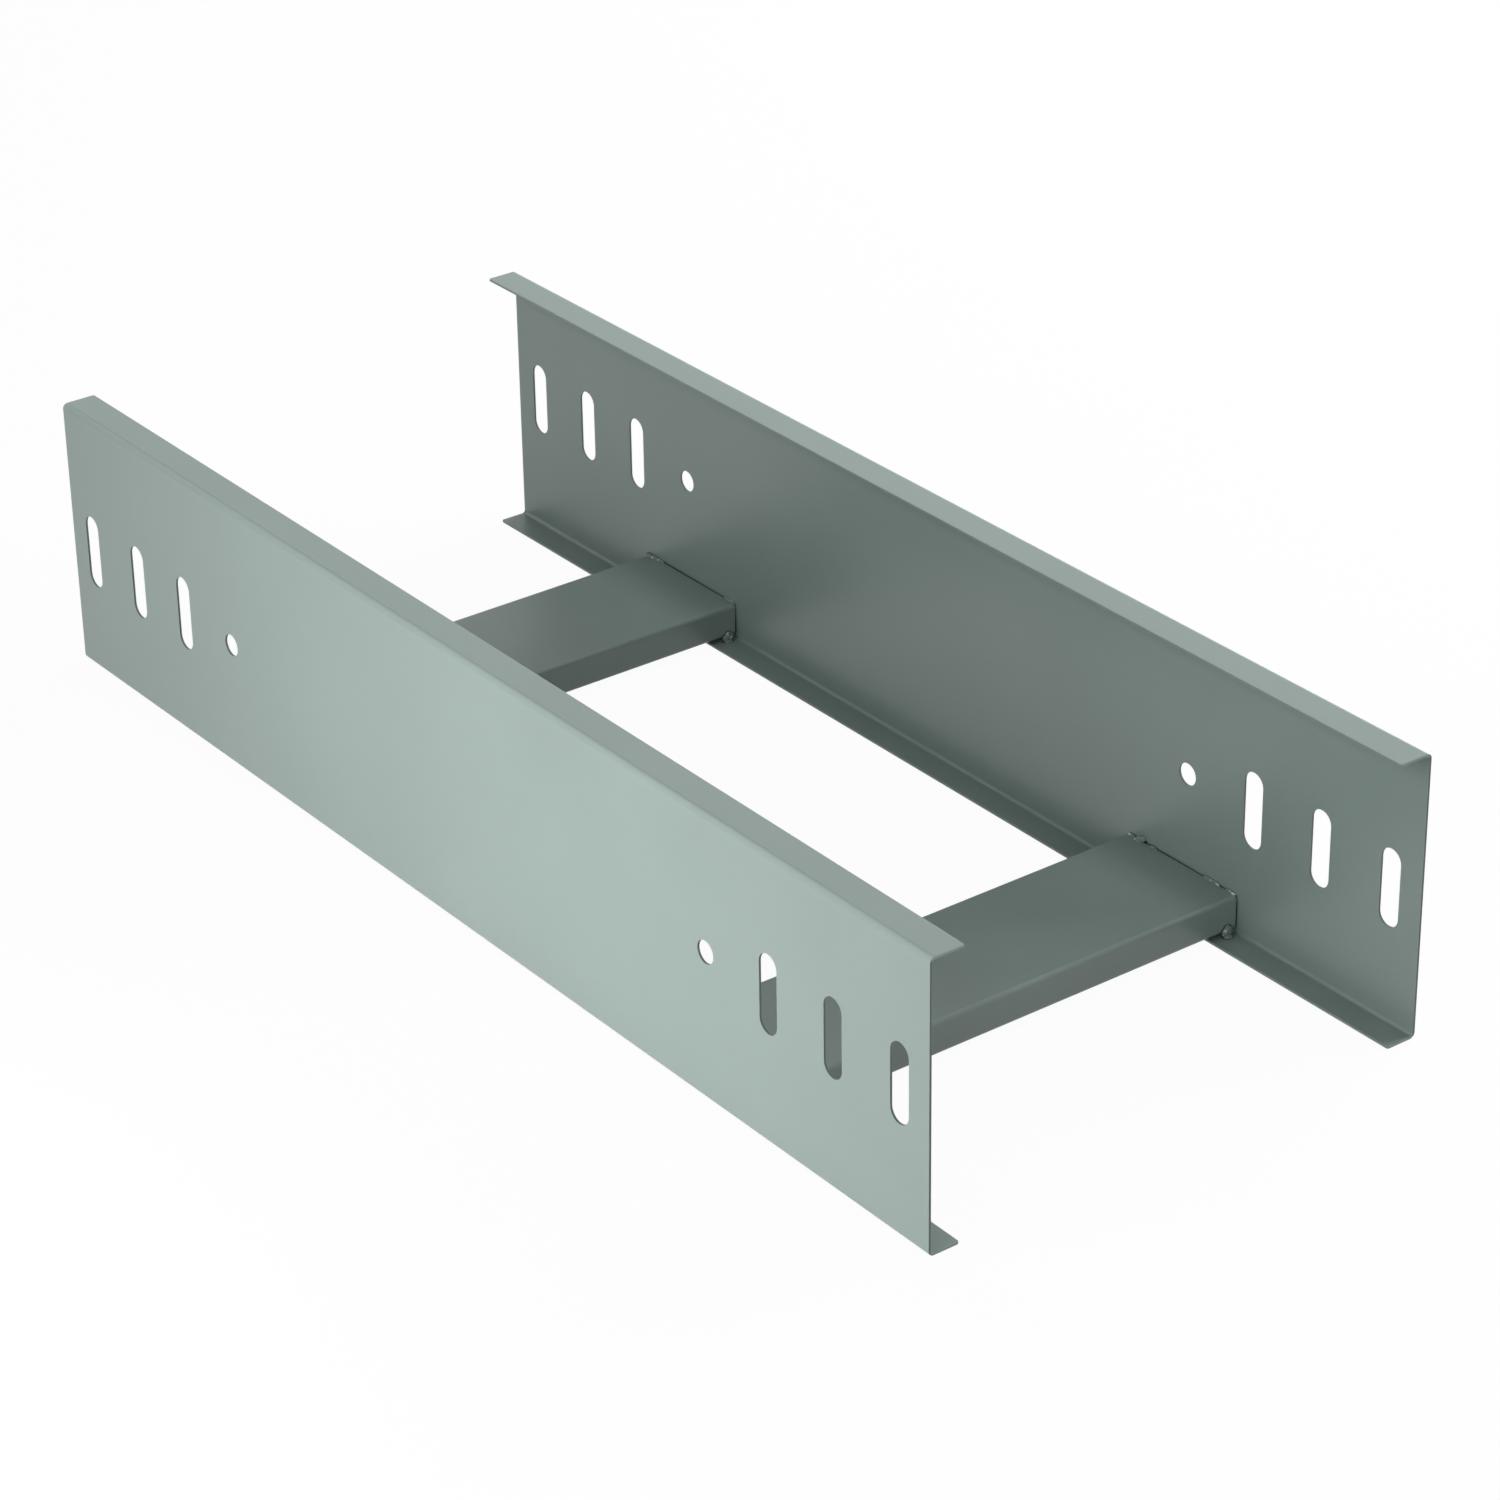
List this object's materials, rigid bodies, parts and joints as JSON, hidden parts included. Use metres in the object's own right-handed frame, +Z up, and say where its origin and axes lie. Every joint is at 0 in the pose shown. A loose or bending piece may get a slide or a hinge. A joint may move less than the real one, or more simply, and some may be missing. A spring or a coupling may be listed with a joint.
{
  "type": "cable ladder section",
  "caption": "Short straight length of cable ladder with C section side rails, slotted for splice plates at both ends, and flat rungs that carry the cables.",
  "frame": {"origin": "on the floor under the middle of the ladder, level with the underside of the lower flanges", "axes": "+X along the side rails, +Y across the ladder toward the back rail, +Z up out of the ladder's open side"},
  "size_m": [0.5, 0.2, 0.1036],
  "materials": {
    "powder_coated_steel": "satin"
  },
  "bodies": {
    "root": {"side_rail_front": "powder_coated_steel", "side_rail_back": "powder_coated_steel", "rung_left": "powder_coated_steel", "rung_right": "powder_coated_steel"}
  },
  "joints": []
}
